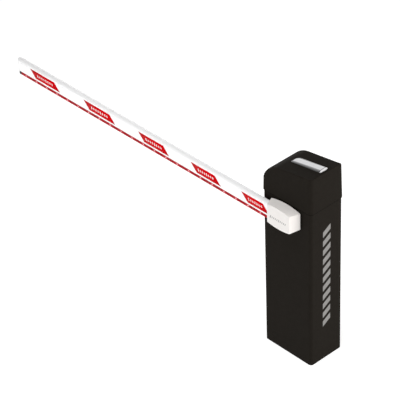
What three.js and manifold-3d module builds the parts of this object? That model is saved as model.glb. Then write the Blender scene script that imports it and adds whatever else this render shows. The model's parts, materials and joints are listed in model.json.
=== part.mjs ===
// Parking barrier gate: a steel cabinet with a sloped hood, a short aluminium boom on a hub at its front,
// and the drive inside it: a gear motor, a parallel crank linkage and a balance spring.
// Millimetres, +Z up. The origin is the centre of the cabinet's footprint, on the ground. The boom lies along
// -X in front of the cabinet's -Y face, and turns about +Y to open.

import * as THREE from 'three';
import { mergeVertices } from 'three/addons/utils/BufferGeometryUtils.js';
import Module from 'manifold-3d';

const wasm = await Module();
wasm.setup();

// ---------------------------------------------------------------- driving dimensions

const GAP = 0.3; // between pieces that touch
const OVER = 5; // how far a cutting shape runs past what it cuts
const SINK = 2; // how far joined shapes run into one another
const SIDES = { pin: 16, small: 20, medium: 24, usual: 28, wide: 32, large: 36 }; // facets of a round part

const cabinet = { width: 300, depth: 203, height: 905, wall: 2.5, corner: 15 };
const inner = { x: cabinet.width / 2 - cabinet.wall, y: cabinet.depth / 2 - cabinet.wall };

const hood = {
  bottom: 866,
  rightTop: 1051, // height of the top face at the cabinet's right side
  slope: 0.1475, // fall of the top face per millimetre towards -X
  overhang: 4,
  shoulder: 118, // radius from the top face into the left side
  frontEdge: 6,
  backEdge: 22,
  leastEdge: 3, // on the inside
  wall: 2.5,
  corner: 19,
  draft: 3.6, // how far each side leans in from the rim to the top
};
const hoodHalf = { x: cabinet.width / 2 + hood.overhang, y: cabinet.depth / 2 + hood.overhang };
const lampSlot = { x0: -20, x1: 118, half: 12 };
const lens = {
  u0: -50,
  u1: 137,
  halfY: 27,
  height: 12,
  chamfer: 6,
  corner: 9,
  frontLeft: 8,
  backLeft: 20,
  leftShare: 0.3, // height at the left end, as a share of the full height
  lift: 0.8,
};
const lampBoard = { u0: -26, u1: 124, halfY: 17, w0: -9.6, w1: -8 };
const chips = { count: 6, first: -9, pitch: 24, half: 3, low: -8.5, top: -5.5 };
const topAngle = Math.atan(hood.slope);

const axis = { x: 0, z: 806 }; // main shaft
const shaft = { radius: 15, front: -108.9, back: 72, running: 0.4, wallHole: 22 };

const boom = {
  tip: -1830,
  root: 62,
  y: -136.5,
  top: 845,
  shoulder: 834, // where the flat sides end and the domed top begins
  bottom: 780.5,
  thickness: 40,
  corner: 8,
  wall: 2,
  capLength: 24,
};
const boomHalf = boom.thickness / 2;

const strip = { halfWidth: 14, bottom: 760, end: -1800, plug: 16, corner: 4, toCover: 2 };

const label = { bottom: 794.5, height: 41.5, slant: 39, thickness: 0.4 };
const labelPlaces = [
  { start: 232, length: 138 },
  { start: 565, length: 159 },
  { start: 925, length: 172 },
  { start: 1316, length: 186 },
  { start: 1717, length: 181 },
];

const cover = {
  back: -109,
  front: -164,
  backLeft: -88,
  backRight: 92,
  frontLeft: -61.5,
  frontRight: 77,
  middle: 5, // where the barrel is tallest
  halfHeight: 55.3,
  barrel: 312, // radius of the top and bottom arcs
  wall: 3,
  sideWall: 3.3,
  mouthGap: 1.2, // round the boom where it enters
};

const flange = { left: -54, right: 66, low: 780, high: 834, back: -109.2, front: -116.2, corner: 10 };
const clampBolts = {
  radius: 5,
  clearance: 5.6,
  head: 8,
  headHeight: 3,
  reach: 6, // past the flange
  xs: [-38, 44],
  zs: [799, 829],
};

const plate = { x: 135, y0: -84, y1: -78, z0: 594, z1: 880, hole: 20 };
const bracket = { width: 26, depth: 38, sheet: 3, z0: 600, z1: 860 };
const bearing = { flange: 34, flangeDepth: 8, boss: 25, depth: 20, rear: 28, rearDepth: 12 };
const crossbar = { y0: 48, y1: 58, halfHeight: 20, hole: 18 };
const collar = { radius: 22, y0: 59, y1: 68 };

const crank = { z: 640, arm: 70, hub: 20, eye: 14, pin: 6, stub: 10, stubIn: 18, y0: -36, y1: -24 };
const link = { y0: -22, y1: -12, width: 7, pinReach: 2 };
const restAngle = (225 * Math.PI) / 180; // direction of the drive arms with the boom down
const springArm = { reach: 70, y: 20, half: 6, eye: 14, pin: 6, sleeve: 24 };
const stops = { radius: 10, along: 50, offset: 28 };

const yoke = {
  ear: 5,
  eye: 12,
  neck: 28,
  neckRadius: 9,
  bridgeTop: 20,
  bridgeBottom: 36,
  rod: 6,
  rodIn: 12, // inside the spring
  side: 0.6,
};
const spring = { x: 35, z: 200, radius: 18, top: 125, bottom: 30, bore: 24, hook: 2, hookIn: 4 };
const post = {
  foot: { half: 32, y0: 18, y1: 46, height: 6 },
  half: 16,
  y0: 24,
  y1: 32,
  shelf: 40,
  sheet: 8,
  ear: 12,
  earIn: 6,
  pin: 5,
  pinHalf: 14,
  clearance: 2, // from the pin to the spring's hook
};

const gearbox = {
  x0: -45,
  x1: 60,
  y1: -40,
  z0: 592,
  z1: 690,
  boss: 24,
  bossDepth: 2.5,
  socket: 20,
  wormX: 52,
  wormY: -52,
  wormRadius: 24,
  wormTop: 704,
};
const motor = {
  barrel: 30,
  throat: 26,
  collar: 32,
  z0: 440,
  y: gearbox.wormY + 2,
  neck: 8,
  collars: { count: 4, first: 6, pitch: 34, height: 24 },
};
const release = { hub: 12, arm: 38, halfWidth: 4, low: 2, high: 8, knob: 6, knobAt: 36, knobTop: 16 };

const door = { halfWidth: 120.5, z0: 61.5, z1: 818.5, gap: 1.5, flange: 15, sheet: 2 };
const hinge = {
  x: -124,
  y: 107,
  radius: 5,
  pin: 2.9,
  knuckle: 20,
  leaf: 2.2,
  frameWidth: 20,
  doorWidth: 26,
  play: 0.5,
  pinShort: 2, // below the knuckle's top
  zs: { lower: 160, upper: 720 },
};
const lock = {
  x: 100,
  z: 450,
  radius: 8,
  barrelIn: 8,
  flange: 13,
  flangeDepth: 2.5,
  cam: 34,
  camHalf: 7,
  camFrom: 6,
  camTo: 3,
  slot: { low: -9, high: 32, depth: 1 }, // in the door's flange, where the cam passes
};

const controls = {
  y: 25,
  leg: 35, // along the side wall
  sheet: 2.5,
  x1: -20,
  z0: 240,
  z1: 530,
  box: { x0: -138, x1: -24, y1: 66, z0: 300, z1: 515, wall: 3, lid: 12, lip: 1 },
  terminals: { x0: -128, x1: -34, depth: 22, z0: 250, z1: 280 },
};
const transformer = { x0: -140, x1: -80, y0: -47, y1: 1, height: 72 };
const coil = { sides: 6, front: 6, back: 12, ends: 14 }; // how far it stands in or out from the core

const base = {
  thickness: 8,
  opening: { x0: 12, x1: 78, y0: -35, y1: 30, corner: 10 },
  boltX: 115,
  boltY: 70,
  boltRadius: 6,
  boltHole: 7,
  boltFrom: 1, // the bolt's length in the ground is left out
  boltTop: 24,
  washer: { radius: 15, height: 2.5 },
  nut: { radius: 11, from: 2, top: 13 },
  glandX: 112,
  glandY: 0,
  glandRadius: 9,
  glandFrom: 1,
  glandTop: 24,
  glandNut: { radius: 14, height: 8 },
};

// ---------------------------------------------------------------- materials

const finishes = {
  powderBlack: { color: 0x282622, roughness: 0.62, metalness: 0.1 },
  boomWhite: { color: 0xf4f4f2, roughness: 0.35, metalness: 0.1 },
  coverWhite: { color: 0xe9e6e0, roughness: 0.45, metalness: 0 },
  lensGrey: { color: 0xd2d2d6, roughness: 0.2, metalness: 0 },
  labelRed: { color: 0xd90f1c, roughness: 0.4, metalness: 0 },
  rubberRed: { color: 0xa01c20, roughness: 0.6, metalness: 0 },
  rubberBlack: { color: 0x161616, roughness: 0.8, metalness: 0 },
  zincSteel: { color: 0xaeb2b4, roughness: 0.38, metalness: 0.9 },
  castGrey: { color: 0x7a7e80, roughness: 0.6, metalness: 0.6 },
  motorGrey: { color: 0x3c4146, roughness: 0.5, metalness: 0.5 },
  plasticGrey: { color: 0xb9bcbe, roughness: 0.55, metalness: 0 },
  circuitGreen: { color: 0x1f5a38, roughness: 0.5, metalness: 0 },
};

const group = new THREE.Group();

function place(name, geometry, finish, parent = group) {
  const mesh = new THREE.Mesh(geometry, new THREE.MeshStandardMaterial(finishes[finish]));
  mesh.name = name;
  parent.add(mesh);
  return mesh;
}

// ---------------------------------------------------------------- solids

function toSolid(geometry) {
  const bare = geometry.clone();
  bare.deleteAttribute('normal');
  bare.deleteAttribute('uv');
  const merged = mergeVertices(bare, 1e-4);
  return new wasm.Manifold(new wasm.Mesh({
    numProp: 3,
    vertProperties: new Float32Array(merged.attributes.position.array),
    triVerts: new Uint32Array(merged.index.array),
  }));
}

function toGeometry(solid) {
  const mesh = solid.getMesh();
  const geometry = new THREE.BufferGeometry();
  geometry.setAttribute('position', new THREE.BufferAttribute(new Float32Array(mesh.vertProperties), 3));
  geometry.setIndex(new THREE.BufferAttribute(new Uint32Array(mesh.triVerts), 1));
  geometry.computeVertexNormals();
  return geometry;
}

function combine(operation, first, others) {
  let solid = toSolid(first);
  for (const other of others) {
    solid = solid[operation](toSolid(other));
  }
  return toGeometry(solid);
}

const cut = (body, ...tools) => combine('subtract', body, tools);
const join = (body, ...others) => combine('add', body, others);
const common = (body, ...others) => combine('intersect', body, others);

function block(x0, x1, y0, y1, z0, z1) {
  const geometry = new THREE.BoxGeometry(x1 - x0, y1 - y0, z1 - z0);
  return geometry.translate((x0 + x1) / 2, (y0 + y1) / 2, (z0 + z1) / 2);
}

function rodY(radius, y0, y1, x, z, sides = SIDES.usual) {
  const geometry = new THREE.CylinderGeometry(radius, radius, y1 - y0, sides);
  return geometry.translate(x, (y0 + y1) / 2, z);
}

function rodZ(radius, z0, z1, x, y, sides = SIDES.usual) {
  const geometry = new THREE.CylinderGeometry(radius, radius, z1 - z0, sides);
  return geometry.rotateX(Math.PI / 2).translate(x, y, (z0 + z1) / 2);
}

function roundedRect(x0, x1, y0, y1, radius) {
  const shape = new THREE.Shape();
  shape.moveTo(x0 + radius, y0);
  shape.lineTo(x1 - radius, y0);
  shape.absarc(x1 - radius, y0 + radius, radius, -Math.PI / 2, 0, false);
  shape.lineTo(x1, y1 - radius);
  shape.absarc(x1 - radius, y1 - radius, radius, 0, Math.PI / 2, false);
  shape.lineTo(x0 + radius, y1);
  shape.absarc(x0 + radius, y1 - radius, radius, Math.PI / 2, Math.PI, false);
  shape.lineTo(x0, y0 + radius);
  shape.absarc(x0 + radius, y0 + radius, radius, Math.PI, 1.5 * Math.PI, false);
  return shape;
}

const extrude = (shape, depth, curveSegments, bevel = {}) =>
  new THREE.ExtrudeGeometry(shape, { depth, curveSegments, bevelEnabled: false, ...bevel });

// A shape drawn in X and Y, standing from z0 to z1.
const prismZ = (shape, z0, z1, segments = 6) => extrude(shape, z1 - z0, segments).translate(0, 0, z0);

// A shape drawn in X and Z, running from y0 to y1.
const prismY = (shape, y0, y1, segments = 6) =>
  extrude(shape, y1 - y0, segments).rotateX(Math.PI / 2).translate(0, y1, 0);

// A shape drawn in Y and Z, running from x0 to x1.
function prismX(shape, x0, x1, segments = 6) {
  const turn = new THREE.Matrix4().makeBasis(
    new THREE.Vector3(0, 1, 0),
    new THREE.Vector3(0, 0, 1),
    new THREE.Vector3(1, 0, 0),
  );
  return extrude(shape, x1 - x0, segments).applyMatrix4(turn).translate(x0, 0, 0);
}

function ring(outer, inside, y0, y1, x, z) {
  return cut(rodY(outer, y0, y1, x, z), rodY(inside, y0 - OVER, y1 + OVER, x, z));
}

function reshape(geometry, move) {
  const points = geometry.attributes.position;
  const point = new THREE.Vector3();
  for (let i = 0; i < points.count; i += 1) {
    point.fromBufferAttribute(points, i);
    move(point);
    points.setXYZ(i, point.x, point.y, point.z);
  }
  geometry.computeVertexNormals();
  return geometry;
}

// ---------------------------------------------------------------- base and cabinet

function addBase() {
  const { thickness, boltX, boltY, glandX, glandY } = base;
  const halfX = inner.x - GAP;
  const halfY = inner.y - GAP;
  const radius = cabinet.corner - cabinet.wall;
  const corners = [
    [-boltX, -boltY, 'front_left'],
    [boltX, -boltY, 'front_right'],
    [-boltX, boltY, 'back_left'],
    [boltX, boltY, 'back_right'],
  ];
  const low = -OVER;
  const high = thickness + OVER;
  const holes = corners.map(([x, y]) => rodZ(base.boltHole, low, high, x, y, SIDES.small));
  const { x0, x1, y0, y1, corner } = base.opening;
  const opening = prismZ(roundedRect(x0, x1, y0, y1, corner), low, high);
  const sheet = prismZ(roundedRect(-halfX, halfX, -halfY, halfY, radius), 0, thickness);
  const glandHole = rodZ(base.glandRadius + GAP, low, high, glandX, glandY, SIDES.small);
  place('base_plate', cut(sheet, opening, glandHole, ...holes), 'zincSteel');
  for (const [x, y, name] of corners) {
    place(`anchor_bolt_${name}`, anchorBolt(x, y), 'zincSteel');
  }
}

function anchorBolt(x, y) {
  const { washer, nut } = base;
  const seat = base.thickness + GAP;
  return join(
    rodZ(base.boltRadius, base.boltFrom, seat + base.boltTop, x, y, SIDES.small),
    rodZ(washer.radius, seat, seat + washer.height, x, y, SIDES.medium),
    rodZ(nut.radius, seat + nut.from, seat + nut.top, x, y, 6),
  );
}

function addCabinet() {
  const { width, depth, height, wall, corner } = cabinet;
  const outside = prismZ(roundedRect(-width / 2, width / 2, -depth / 2, depth / 2, corner), 0, height);
  const hollow = roundedRect(-inner.x, inner.x, -inner.y, inner.y, corner - wall);
  const inside = prismZ(hollow, -OVER, height + OVER);
  const shaftHole = rodY(shaft.wallHole, -depth, 0, axis.x, axis.z);
  const openX = door.halfWidth + door.gap;
  const doorway = block(-openX, openX, 0, depth, door.z0 - door.gap, door.z1 + door.gap);
  place('cabinet_shell', cut(outside, inside, shaftHole, doorway), 'powderBlack');
}

// ---------------------------------------------------------------- hood and lamp

function hoodProfile(inset, low) {
  const right = hoodHalf.x - inset;
  const radius = hood.shoulder - inset;
  const rise = hood.rightTop - inset * Math.hypot(1, hood.slope);
  const topAt = (x) => rise - hood.slope * (hoodHalf.x - x);
  const centreX = -right + radius;
  const centreZ = topAt(centreX) - radius * Math.hypot(1, hood.slope);
  const shape = new THREE.Shape();
  shape.moveTo(-right, low);
  shape.lineTo(right, low);
  shape.lineTo(right, topAt(right));
  shape.absarc(centreX, centreZ, radius, Math.PI / 2 + topAngle, Math.PI, false);
  return shape;
}

// The profile run from front to back, with one of its two end outlines rounded over.
function roundedRun(profile, y0, y1, radius) {
  const bevel = {
    bevelEnabled: true,
    bevelThickness: radius,
    bevelSize: radius,
    bevelOffset: -radius,
    bevelSegments: 5,
  };
  const run = extrude(profile, y1 - y0 - 2 * radius, 14, bevel);
  return run.rotateX(Math.PI / 2).translate(0, y1 - radius, 0);
}

function hoodSolid(inset, low) {
  const deep = 2 * cabinet.depth;
  const below = low - 60;
  const halfX = hoodHalf.x - inset;
  const halfY = hoodHalf.y - inset;
  const profile = hoodProfile(inset, below);
  return common(
    roundedRun(profile, -halfY, deep, Math.max(hood.frontEdge - inset, hood.leastEdge)),
    roundedRun(profile, -deep, halfY, inset ? hood.corner - inset : hood.backEdge),
    prismZ(roundedRect(-halfX, halfX, -halfY, halfY, hood.corner - inset), low, hood.rightTop + 50, 8),
  );
}

function addHood() {
  const { x0, x1, half } = lampSlot;
  const slot = block(x0, x1, -half, half, hood.rightTop - hood.shoulder, hood.rightTop + OVER);
  const shell = cut(hoodSolid(0, hood.bottom), hoodSolid(hood.wall, hood.bottom - OVER), slot);
  const height = hood.rightTop - hood.bottom;
  place('hood', reshape(shell, (point) => {
    const up = (point.z - hood.bottom) / height;
    point.x *= 1 - (up * hood.draft) / hoodHalf.x;
    point.y *= 1 - (up * hood.draft) / hoodHalf.y;
  }), 'powderBlack');
}

// The lamp parts lie on the sloped top face, in a group turned with it: u runs up the slope from x = 0.
function addLamp() {
  const slopeGroup = new THREE.Group();
  slopeGroup.rotation.y = -topAngle;
  slopeGroup.position.set(0, 0, hood.rightTop - hood.slope * hoodHalf.x);
  group.add(slopeGroup);

  const { corner, frontLeft, backLeft } = lens;
  const plan = new THREE.Shape();
  plan.moveTo(lens.u0 + frontLeft, -lens.halfY);
  plan.lineTo(lens.u1 - corner, -lens.halfY);
  plan.absarc(lens.u1 - corner, -lens.halfY + corner, corner, -Math.PI / 2, 0, false);
  plan.lineTo(lens.u1, lens.halfY - corner);
  plan.absarc(lens.u1 - corner, lens.halfY - corner, corner, 0, Math.PI / 2, false);
  plan.lineTo(lens.u0 + backLeft, lens.halfY);
  plan.absarc(lens.u0 + backLeft, lens.halfY - backLeft, backLeft, Math.PI / 2, Math.PI, false);
  plan.lineTo(lens.u0, -lens.halfY + frontLeft);
  plan.absarc(lens.u0 + frontLeft, -lens.halfY + frontLeft, frontLeft, Math.PI, 1.5 * Math.PI, false);
  const bevel = {
    bevelEnabled: true,
    bevelThickness: lens.chamfer,
    bevelSize: lens.chamfer,
    bevelOffset: -lens.chamfer,
    bevelSegments: 4,
  };
  const loaf = extrude(plan, lens.height - lens.chamfer, 6, bevel);
  const span = lens.u1 - lens.u0;
  const half = common(loaf, block(-span, span, -span, span, 0, span));
  place('lamp_lens', reshape(half, (point) => {
    const along = (point.x - lens.u0) / span;
    point.z = lens.lift + point.z * (lens.leftShare + (1 - lens.leftShare) * along);
  }), 'lensGrey', slopeGroup);

  const { u0, u1, halfY, w0, w1 } = lampBoard;
  const board = block(u0, u1, -halfY, halfY, w0, w1);
  const leds = Array.from({ length: chips.count }, (_, i) => {
    const middle = chips.first + i * chips.pitch;
    return block(middle - chips.half, middle + chips.half, -chips.half, chips.half, chips.low, chips.top);
  });
  place('lamp_board', join(board, ...leds), 'circuitGreen', slopeGroup);
}

// ---------------------------------------------------------------- boom

// The boom's section in Y and Z, inset all round: a domed top, flat sides and rounded bottom corners.
function boomSection(inset) {
  const half = boomHalf - inset;
  const corner = boom.corner - inset;
  const low = boom.bottom + inset;
  const shape = new THREE.Shape();
  shape.moveTo(boom.y - half + corner, low);
  shape.lineTo(boom.y + half - corner, low);
  shape.absarc(boom.y + half - corner, low + corner, corner, -Math.PI / 2, 0, false);
  shape.absellipse(boom.y, boom.shoulder, half, boom.top - inset - boom.shoulder, 0, Math.PI, false);
  shape.absarc(boom.y - half + corner, low + corner, corner, Math.PI, 1.5 * Math.PI, false);
  return shape;
}

function addBoom() {
  const front = boom.y - boomHalf;
  const back = boom.y + boomHalf;
  const outline = boomSection(0);
  const capStart = boom.tip + boom.capLength;
  const bolts = boltPlaces().map(([x, z]) =>
    rodY(clampBolts.clearance, front - OVER, back + OVER, x, z, SIDES.small));
  place('boom_profile', cut(
    prismX(outline, capStart + GAP, boom.root),
    prismX(boomSection(boom.wall), capStart - OVER, boom.root + OVER),
    ...bolts,
  ), 'boomWhite');

  const nose = new THREE.Shape();
  nose.moveTo(capStart, front);
  nose.lineTo(capStart, back);
  nose.absarc(boom.tip + boomHalf, boom.y, boomHalf, Math.PI / 2, 1.5 * Math.PI, false);
  place('boom_end_cap', common(
    prismX(outline, boom.tip - OVER, capStart + OVER),
    prismZ(nose, boom.bottom - OVER, boom.top + OVER, 10),
  ), 'boomWhite');

  const y0 = boom.y - strip.halfWidth;
  const y1 = boom.y + strip.halfWidth;
  const section = roundedRect(y0, y1, strip.bottom, boom.bottom - GAP, strip.corner);
  const coverSide = prismZ(coverPlan(-strip.toCover, cover.back), strip.bottom - OVER, boom.bottom + OVER);
  place('light_strip', cut(prismX(section, strip.end, cover.frontLeft, 4), coverSide), 'rubberRed');
  place('light_strip_plug', prismX(section, strip.end - strip.plug, strip.end - GAP, 4), 'rubberBlack');
}

function boltPlaces() {
  return clampBolts.xs.flatMap((x) => clampBolts.zs.map((z) => [x, z]));
}

function addLabels() {
  const { bottom, height, slant, thickness } = label;
  labelPlaces.forEach(({ start, length }, i) => {
    const shape = new THREE.Shape();
    shape.moveTo(-start, bottom + height);
    shape.lineTo(-start + length, bottom + height);
    shape.lineTo(-start + length + slant, bottom);
    shape.lineTo(-start + slant, bottom);
    const front = boom.y - boomHalf - GAP;
    const back = boom.y + boomHalf + GAP;
    place(`label_front_${i + 1}`, prismY(shape, front - thickness, front), 'labelRed');
    place(`label_back_${i + 1}`, prismY(shape, back, back + thickness), 'labelRed');
  });
}

// ---------------------------------------------------------------- hub

function barrelProfile(inset, x0, x1) {
  const radius = cover.barrel - inset;
  const reach = cover.halfHeight - cover.barrel; // centre of each arc, from the shaft's height
  const shape = new THREE.Shape();
  const angleAt = (x) => Math.asin((x - cover.middle) / radius);
  const a0 = angleAt(x0);
  const a1 = angleAt(x1);
  shape.absarc(cover.middle, axis.z + reach, radius, Math.PI / 2 - a0, Math.PI / 2 - a1, true);
  shape.absarc(cover.middle, axis.z - reach, radius, -Math.PI / 2 + a1, -Math.PI / 2 + a0, true);
  shape.closePath();
  return shape;
}

function coverPlan(inset, back) {
  const rise = (back - cover.front) / (cover.back - cover.front);
  const left = cover.frontLeft + (cover.backLeft - cover.frontLeft) * rise;
  const right = cover.frontRight + (cover.backRight - cover.frontRight) * rise;
  const shape = new THREE.Shape();
  shape.moveTo(left + inset, back);
  shape.lineTo(cover.frontLeft + inset, cover.front + inset);
  shape.lineTo(cover.frontRight - inset, cover.front + inset);
  shape.lineTo(right - inset, back);
  shape.closePath();
  return shape;
}

function addHub() {
  const low = axis.z - cover.barrel;
  const high = axis.z + cover.barrel;
  const outside = common(
    prismY(barrelProfile(0, cover.backLeft, cover.backRight), cover.front, cover.back, 14),
    prismZ(coverPlan(0, cover.back), low, high),
  );
  const { wall, backLeft, backRight } = cover;
  const inside = common(
    prismY(barrelProfile(wall, backLeft - OVER, backRight + OVER), cover.front, cover.back + OVER, 14),
    prismZ(coverPlan(cover.sideWall, cover.back + OVER), low, high),
  );
  const mouth = prismX(boomSection(-cover.mouthGap), backLeft - OVER, 0);
  place('hub_cover', cut(outside, inside, mouth), 'coverWhite');

  const bolts = boltPlaces();
  const { left, right, front, back } = flange;
  const sheet = prismY(roundedRect(left, right, flange.low, flange.high, flange.corner), front, back);
  const holes = bolts.map(([x, z]) =>
    rodY(clampBolts.clearance, front - OVER, back + OVER, x, z, SIDES.small));
  place('hub_flange', cut(sheet, ...holes), 'zincSteel');
  bolts.forEach(([x, z], i) => {
    const seat = boom.y - boomHalf - GAP;
    const head = rodY(clampBolts.head, seat - clampBolts.headHeight, seat, x, z, 6);
    const shank = rodY(clampBolts.radius, seat - SINK, back + clampBolts.reach, x, z, SIDES.small);
    place(`clamp_bolt_${i + 1}`, join(shank, head), 'zincSteel');
  });
}

// ---------------------------------------------------------------- frame and bearings

function addFrame() {
  const sheet = block(-plate.x, plate.x, plate.y0, plate.y1, plate.z0, plate.z1);
  const plateHole = rodY(plate.hole, plate.y0 - OVER, plate.y1 + OVER, axis.x, axis.z);
  place('mechanism_plate', cut(sheet, plateHole), 'zincSteel');

  const y0 = plate.y1 + GAP;
  const out = inner.x - GAP;
  const { width, depth, sheet: thick } = bracket;
  for (const [side, name] of [[-1, 'left'], [1, 'right']]) {
    const shape = new THREE.Shape();
    shape.moveTo(side * out, y0);
    shape.lineTo(side * (out - width), y0);
    shape.lineTo(side * (out - width), y0 + thick);
    shape.lineTo(side * (out - thick), y0 + thick);
    shape.lineTo(side * (out - thick), y0 + depth);
    shape.lineTo(side * out, y0 + depth);
    place(`plate_bracket_${name}`, prismZ(shape, bracket.z0, bracket.z1), 'zincSteel');
  }

  const bore = shaft.radius + shaft.running;
  const housing = join(
    rodY(bearing.flange, y0, y0 + bearing.flangeDepth, axis.x, axis.z, SIDES.large),
    rodY(bearing.boss, y0 + SINK, y0 + bearing.depth, axis.x, axis.z, SIDES.large),
  );
  const bearingBore = rodY(bore, y0 - OVER, y0 + bearing.depth + OVER, axis.x, axis.z);
  place('bearing_front', cut(housing, bearingBore), 'castGrey');

  const { y0: near, y1: far, halfHeight } = crossbar;
  const bar = block(-out, out, near, far, axis.z - halfHeight, axis.z + halfHeight);
  place('rear_crossbar', cut(bar, rodY(crossbar.hole, near - OVER, far + OVER, axis.x, axis.z)), 'zincSteel');
  const rear = ring(bearing.rear, bore, near - GAP - bearing.rearDepth, near - GAP, axis.x, axis.z);
  place('bearing_rear', rear, 'castGrey');
}

function addStops() {
  const armX = Math.cos(restAngle);
  const armZ = Math.sin(restAngle);
  const x = stops.along * armX - stops.offset * armZ;
  const drop = stops.along * armZ + stops.offset * armX;
  const y0 = plate.y1 + GAP;
  for (const [name, z] of [['closed', axis.z + drop], ['open', axis.z - drop]]) {
    place(`stop_buffer_${name}`, rodY(stops.radius, y0, crank.y1, axis.x + x, z, SIDES.small), 'rubberBlack');
  }
}

// ---------------------------------------------------------------- shaft, levers and linkage

// A flat arm from one eye to another, drawn in X and Z.
function armShape(x0, z0, r0, x1, z1, r1) {
  const heading = Math.atan2(z1 - z0, x1 - x0);
  const lean = Math.asin((r0 - r1) / Math.hypot(x1 - x0, z1 - z0));
  const shape = new THREE.Shape();
  shape.absarc(x0, z0, r0, heading + Math.PI / 2 - lean, heading - Math.PI / 2 + lean + 2 * Math.PI, false);
  shape.absarc(x1, z1, r1, heading - Math.PI / 2 + lean, heading + Math.PI / 2 - lean, false);
  shape.closePath();
  return shape;
}

function addShaft() {
  const rod = rodY(shaft.radius, shaft.front, shaft.back, axis.x, axis.z, SIDES.large);
  place('main_shaft', rod, 'zincSteel');
  const keeper = ring(collar.radius, shaft.radius + GAP, collar.y0, collar.y1, axis.x, axis.z);
  place('shaft_collar', keeper, 'zincSteel');

  const pinX = axis.x + crank.arm * Math.cos(restAngle);
  const pinZ = axis.z + crank.arm * Math.sin(restAngle);
  const { sleeve: hub } = springArm;
  const near = springArm.y - springArm.half;
  const far = springArm.y + springArm.half;
  const drive = prismY(armShape(axis.x, axis.z, hub, pinX, pinZ, crank.eye), crank.y0, crank.y1, 10);
  const eyeX = axis.x + springArm.reach;
  const balance = prismY(armShape(axis.x, axis.z, hub, eyeX, axis.z, springArm.eye), near, far, 10);
  const sleeve = rodY(hub, crank.y0, far, axis.x, axis.z, SIDES.large);
  const pin = rodY(crank.pin, crank.y1 - SINK, link.y1 + link.pinReach, pinX, pinZ, SIDES.small);
  const bore = rodY(shaft.radius + GAP, crank.y0 - OVER, far + OVER, axis.x, axis.z, SIDES.large);
  const eye = rodY(springArm.pin + GAP, near - OVER, far + OVER, eyeX, axis.z, SIDES.small);
  place('balance_lever', cut(join(sleeve, drive, balance, pin), bore, eye), 'castGrey');
}

function addCrank() {
  const pinX = axis.x + crank.arm * Math.cos(restAngle);
  const pinZ = crank.z + crank.arm * Math.sin(restAngle);
  const arm = prismY(armShape(axis.x, crank.z, crank.hub, pinX, pinZ, crank.eye), crank.y0, crank.y1, 10);
  const stub = rodY(crank.stub, gearbox.y1 - crank.stubIn, crank.y0 + SINK, axis.x, crank.z, SIDES.medium);
  const pin = rodY(crank.pin, crank.y1 - SINK, link.y1 + link.pinReach, pinX, pinZ, SIDES.small);
  place('crank_arm', join(arm, stub, pin), 'zincSteel');

  const topZ = axis.z + crank.arm * Math.sin(restAngle);
  const width = link.width;
  const rod = join(
    block(pinX - width, pinX + width, link.y0, link.y1, pinZ, topZ),
    rodY(crank.eye, link.y0, link.y1, pinX, pinZ),
    rodY(crank.eye, link.y0, link.y1, pinX, topZ),
  );
  const bores = [pinZ, topZ].map((z) =>
    rodY(crank.pin + GAP, link.y0 - OVER, link.y1 + OVER, pinX, z, SIDES.small));
  place('link_rod', cut(rod, ...bores), 'zincSteel');
}

function addGearMotor() {
  const y0 = plate.y1 + GAP;
  const { x0, x1, y1, z0, z1, boss, bossDepth, wormX, wormY, wormRadius, wormTop } = gearbox;
  const body = join(
    block(x0, x1, y0, y1, z0, z1),
    rodZ(wormRadius, z0, wormTop, wormX, wormY, SIDES.wide),
    rodY(boss, y1 - SINK, y1 + bossDepth, axis.x, crank.z, SIDES.wide),
  );
  const seat = rodY(crank.stub + GAP, y1 - gearbox.socket, y1 + OVER, axis.x, crank.z, SIDES.medium);
  place('gearbox', cut(body, seat), 'castGrey');

  const top = z0 - GAP;
  const { neck, collars: { count, first, pitch, height } } = motor;
  const barrel = rodZ(motor.barrel, motor.z0, top - neck, wormX, motor.y, SIDES.wide);
  const throat = rodZ(motor.throat, motor.z0 + neck, top, wormX, motor.y, SIDES.wide);
  const collars = Array.from({ length: count }, (_, i) => {
    const low = motor.z0 + first + i * pitch;
    return rodZ(motor.collar, low, low + height, wormX, motor.y, SIDES.wide);
  });
  place('motor', join(barrel, throat, ...collars), 'motorGrey');

  const low = wormTop + release.low;
  const high = wormTop + release.high;
  const { halfWidth, knobAt } = release;
  const lever = join(
    rodZ(release.hub, wormTop + GAP, high, wormX, wormY, SIDES.medium),
    block(wormX, wormX + release.arm, wormY - halfWidth, wormY + halfWidth, low, high),
    rodZ(release.knob, low, wormTop + release.knobTop, wormX + knobAt, wormY, SIDES.small),
  );
  place('release_lever', lever, 'labelRed');
}

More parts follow.
